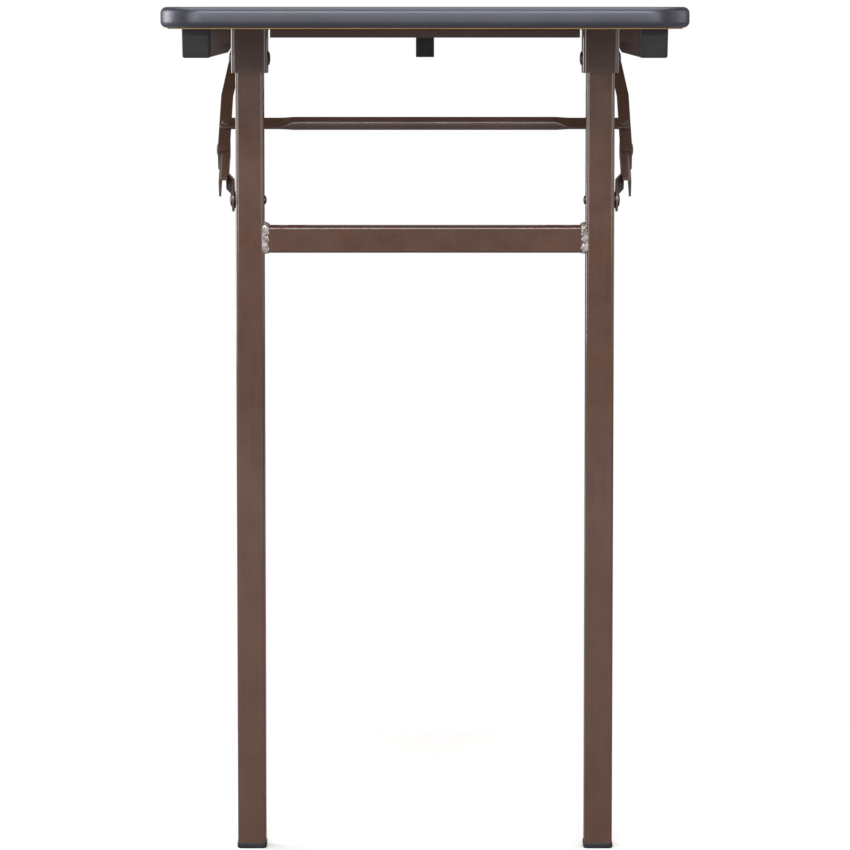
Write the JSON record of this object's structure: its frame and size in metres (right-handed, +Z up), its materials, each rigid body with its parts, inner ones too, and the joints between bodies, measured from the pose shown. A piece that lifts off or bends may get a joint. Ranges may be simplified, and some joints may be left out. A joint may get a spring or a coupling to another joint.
{
  "type": "folding table",
  "caption": "Narrow folding seminar table with a plywood top, vinyl bull-nose edging and square-tube leg frames that fold flat on hinged braces with tie bars.",
  "frame": {"origin": "on the floor, under the middle of the tabletop, with the legs unfolded", "axes": "+Z up, +Y along the tabletop's length towards the back end, +X across its width"},
  "size_m": [0.457, 1.829, 0.762],
  "materials": {
    "plywood": "clear-lacquered plywood",
    "vinyl_edging": "satin dark grey vinyl",
    "brown_tube": "brown baked enamel",
    "brown_fittings": "brown baked enamel",
    "black_plastic": "moulded black plastic",
    "zinc_rivets": "zinc-plated, partly painted over",
    "zinc_screws": "zinc-plated",
    "weld": "painted-over weld bead"
  },
  "bodies": {
    "top": {"top_panel": "plywood", "edge_band": "vinyl_edging", "bumper_front_left": "black_plastic", "bumper_front_right": "black_plastic", "bumper_back_left": "black_plastic", "bumper_back_right": "black_plastic", "leg_catch_front": "black_plastic", "leg_catch_back": "black_plastic", "leg_bracket_front_left": "brown_fittings", "leg_bracket_front_right": "brown_fittings", "leg_bracket_back_left": "brown_fittings", "leg_bracket_back_right": "brown_fittings", "cross_rail_front": "brown_fittings", "cross_rail_back": "brown_fittings", "brace_bracket_front_left": "brown_fittings", "brace_bracket_front_right": "brown_fittings", "brace_bracket_back_left": "brown_fittings", "brace_bracket_back_right": "brown_fittings", "leg_bracket_screws": "zinc_screws", "brace_bracket_screws": "zinc_screws", "rail_screws_group": "zinc_screws", "catch_screws_group": "zinc_screws", "bumper_screws": "zinc_screws", "leg_pivot_rivets": "zinc_rivets", "pivot_washers": "zinc_rivets", "brace_pins": "zinc_rivets"},
    "front_leg_frame": {"leg_front_left": "brown_tube", "leg_front_right": "brown_tube", "crossbar_front": "brown_tube", "weld_beads_front": "weld", "foot_cap_front_left": "black_plastic", "foot_cap_front_right": "black_plastic", "leg_rivets_front": "zinc_rivets"},
    "front_upper_brace": {"upper_link_front_left": "brown_fittings", "upper_link_front_right": "brown_fittings", "tie_bar_front": "brown_fittings", "tie_rivets_front": "zinc_rivets", "elbow_rivets_front": "zinc_rivets"},
    "front_left_lower_brace": {"lower_link_front_left": "brown_fittings", "link_head_front_left": "zinc_rivets"},
    "front_right_lower_brace": {"lower_link_front_right": "brown_fittings", "link_head_front_right": "zinc_rivets"},
    "back_leg_frame": {"leg_back_left": "brown_tube", "leg_back_right": "brown_tube", "crossbar_back": "brown_tube", "weld_beads_back": "weld", "foot_cap_back_left": "black_plastic", "foot_cap_back_right": "black_plastic", "leg_rivets_back": "zinc_rivets"},
    "back_upper_brace": {"upper_link_back_left": "brown_fittings", "upper_link_back_right": "brown_fittings", "tie_bar_back": "brown_fittings", "tie_rivets_back": "zinc_rivets", "elbow_rivets_back": "zinc_rivets"},
    "back_left_lower_brace": {"lower_link_back_left": "brown_fittings", "link_head_back_left": "zinc_rivets"},
    "back_right_lower_brace": {"lower_link_back_right": "brown_fittings", "link_head_back_right": "zinc_rivets"}
  },
  "joints": [
    {"name": "front_leg_fold", "type": "hinge", "parent": "top", "child": "front_leg_frame", "pos_m": [0, -0.7295, 0.716], "axis": [1, 0, 0], "range_deg": [0, 90]},
    {"name": "front_brace_swing", "type": "hinge", "parent": "top", "child": "front_upper_brace", "pos_m": [0, -0.5245, 0.716], "axis": [1, 0, 0], "range_deg": [-31.79, 0]},
    {"name": "front_left_elbow", "type": "hinge", "parent": "front_upper_brace", "child": "front_left_lower_brace", "pos_m": [0, -0.66015, 0.63196], "axis": [1, 0, 0], "range_deg": [0, 180.01]},
    {"name": "front_right_elbow", "type": "hinge", "parent": "front_upper_brace", "child": "front_right_lower_brace", "pos_m": [0, -0.66015, 0.63196], "axis": [1, 0, 0], "range_deg": [0, 180.01]},
    {"name": "back_leg_fold", "type": "hinge", "parent": "top", "child": "back_leg_frame", "pos_m": [0, 0.7295, 0.716], "axis": [-1, 0, 0], "range_deg": [0, 90]},
    {"name": "back_brace_swing", "type": "hinge", "parent": "top", "child": "back_upper_brace", "pos_m": [0, 0.5245, 0.716], "axis": [-1, 0, 0], "range_deg": [-31.79, 0]},
    {"name": "back_left_elbow", "type": "hinge", "parent": "back_upper_brace", "child": "back_left_lower_brace", "pos_m": [0, 0.66015, 0.63196], "axis": [-1, 0, 0], "range_deg": [0, 180.01]},
    {"name": "back_right_elbow", "type": "hinge", "parent": "back_upper_brace", "child": "back_right_lower_brace", "pos_m": [0, 0.66015, 0.63196], "axis": [-1, 0, 0], "range_deg": [0, 180.01]}
  ],
  "couplings": [
    {"joint": "front_brace_swing", "follows": "front_leg_fold", "ratio": -0.3531},
    {"joint": "front_left_elbow", "follows": "front_leg_fold", "ratio": 2},
    {"joint": "front_right_elbow", "follows": "front_leg_fold", "ratio": 2},
    {"joint": "back_brace_swing", "follows": "back_leg_fold", "ratio": -0.3531},
    {"joint": "back_left_elbow", "follows": "back_leg_fold", "ratio": 2},
    {"joint": "back_right_elbow", "follows": "back_leg_fold", "ratio": 2}
  ]
}
